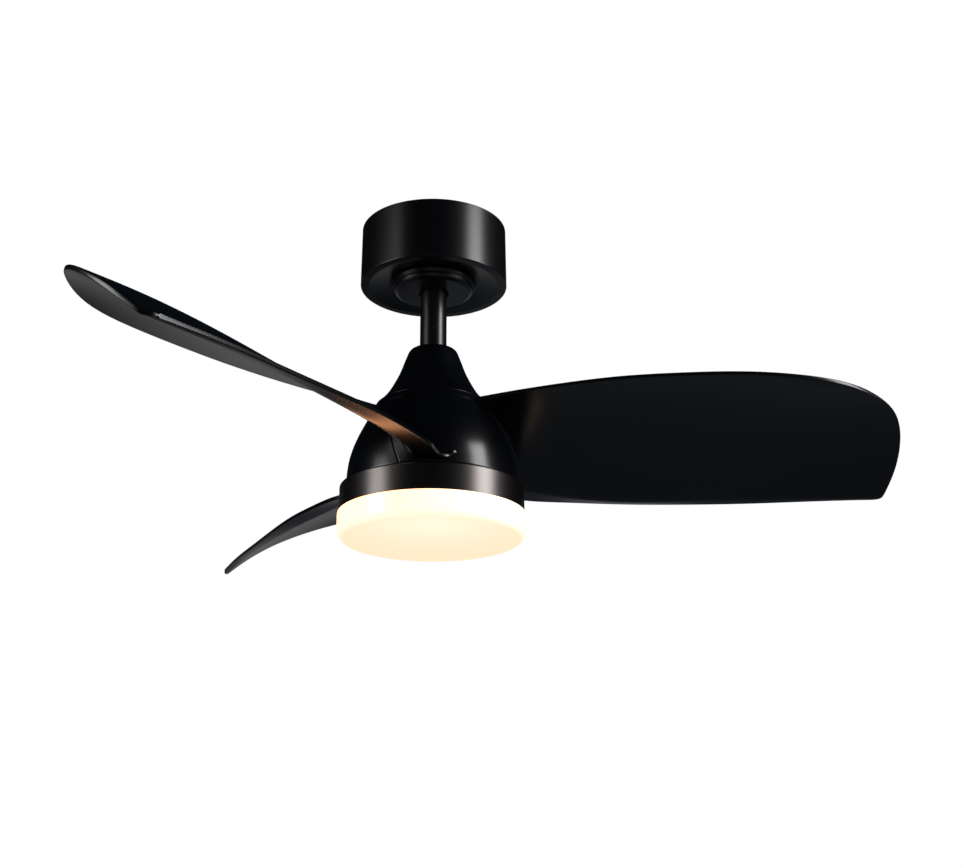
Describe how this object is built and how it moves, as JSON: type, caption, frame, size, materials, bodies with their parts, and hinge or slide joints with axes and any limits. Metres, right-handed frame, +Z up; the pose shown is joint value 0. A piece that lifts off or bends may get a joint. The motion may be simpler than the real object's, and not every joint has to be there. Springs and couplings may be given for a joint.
{
  "type": "ceiling fan with light",
  "caption": "Black ceiling fan: round canopy, short rod, bell-shaped motor cover, swept moulded blades that grow out of the motor dome, and a drum-shaped opal light below.",
  "frame": {"origin": "centre of the ceiling slots, in the plane of the ceiling", "axes": "+Z up into the ceiling along the fan's axis, X along the line of the two ceiling slots, Y across it"},
  "size_m": [0.7374, 0.8131, 0.3278],
  "materials": {
    "black_metal": "satin black powder coat on steel",
    "black_plastic": "satin black moulded ABS",
    "opal": "opal acrylic, lit warm white from inside",
    "zinc_steel": "bright zinc plating",
    "cast_aluminium": "die-cast, fine grain",
    "nylon": "natural nylon",
    "ball_plastic": "black glass-filled nylon",
    "rubber": "soft black rubber",
    "magnet": "grey ferrite",
    "copper": "enamelled copper wire",
    "green_paint": "green dyed zinc",
    "housing_plastic": "white moulded ABS",
    "white_board": "white solder mask on aluminium",
    "chip": "yellow phosphor",
    "lead_insulation": "PVC insulation"
  },
  "bodies": {
    "mount": {"hanger_bracket": "zinc_steel", "canopy": "black_metal", "canopy_screws": "zinc_steel", "canopy_trim": "black_metal", "receiver": "housing_plastic", "terminal_block": "nylon", "ground_screw": "green_paint"},
    "seat": {"ball_seat_liner": "nylon"},
    "stem": {"hanger_ball": "ball_plastic", "ball_pin": "zinc_steel", "ball_set_screw": "zinc_steel", "downrod": "black_metal", "motor_coupling": "cast_aluminium", "coupling_pin": "zinc_steel", "coupling_clip": "zinc_steel", "coupling_set_screws": "zinc_steel", "bell_cover": "black_plastic", "bell_grommet": "rubber", "motor_shaft": "zinc_steel", "stator_hub": "cast_aluminium", "stator_core": "zinc_steel", "stator_windings": "copper", "upper_bearing_inner_race": "zinc_steel", "lower_bearing_inner_race": "zinc_steel", "light_ring": "black_metal", "light_pan": "zinc_steel", "shaft_nuts": "zinc_steel", "pan_screws": "zinc_steel", "led_standoffs": "zinc_steel", "led_board": "white_board", "led_screws": "zinc_steel", "led_chips": "chip", "led_driver": "housing_plastic", "rod_leads": "lead_insulation"},
    "rotor": {"rotor_upper_housing": "cast_aluminium", "rotor_can": "zinc_steel", "rotor_magnets": "magnet", "rotor_lower_housing": "cast_aluminium", "dome_cap": "black_plastic", "cap_screws": "zinc_steel", "blade_1": "black_plastic", "blade_2": "black_plastic", "blade_3": "black_plastic", "blade_screws": "zinc_steel", "upper_bearing_outer_race": "zinc_steel", "upper_bearing_balls": "zinc_steel", "lower_bearing_outer_race": "zinc_steel", "lower_bearing_balls": "zinc_steel"},
    "diffuser": {"diffuser": "opal"}
  },
  "joints": [
    {"name": "hang_tilt_x", "type": "hinge", "parent": "mount", "child": "seat", "pos_m": [0, 0, -0.038], "axis": [1, 0, 0], "range_deg": [-2, 2]},
    {"name": "hang_tilt_y", "type": "hinge", "parent": "seat", "child": "stem", "pos_m": [0, 0, -0.038], "axis": [0, 1, 0], "range_deg": [-2, 2]},
    {"name": "rotor_spin", "type": "hinge", "parent": "stem", "child": "rotor", "pos_m": [0, 0, -0.235], "axis": [0, 0, 1], "continuous": true},
    {"name": "diffuser_twist", "type": "hinge", "parent": "stem", "child": "diffuser", "pos_m": [0, 0, -0.3], "axis": [0, 0, 1], "range_deg": [0, 15]}
  ]
}
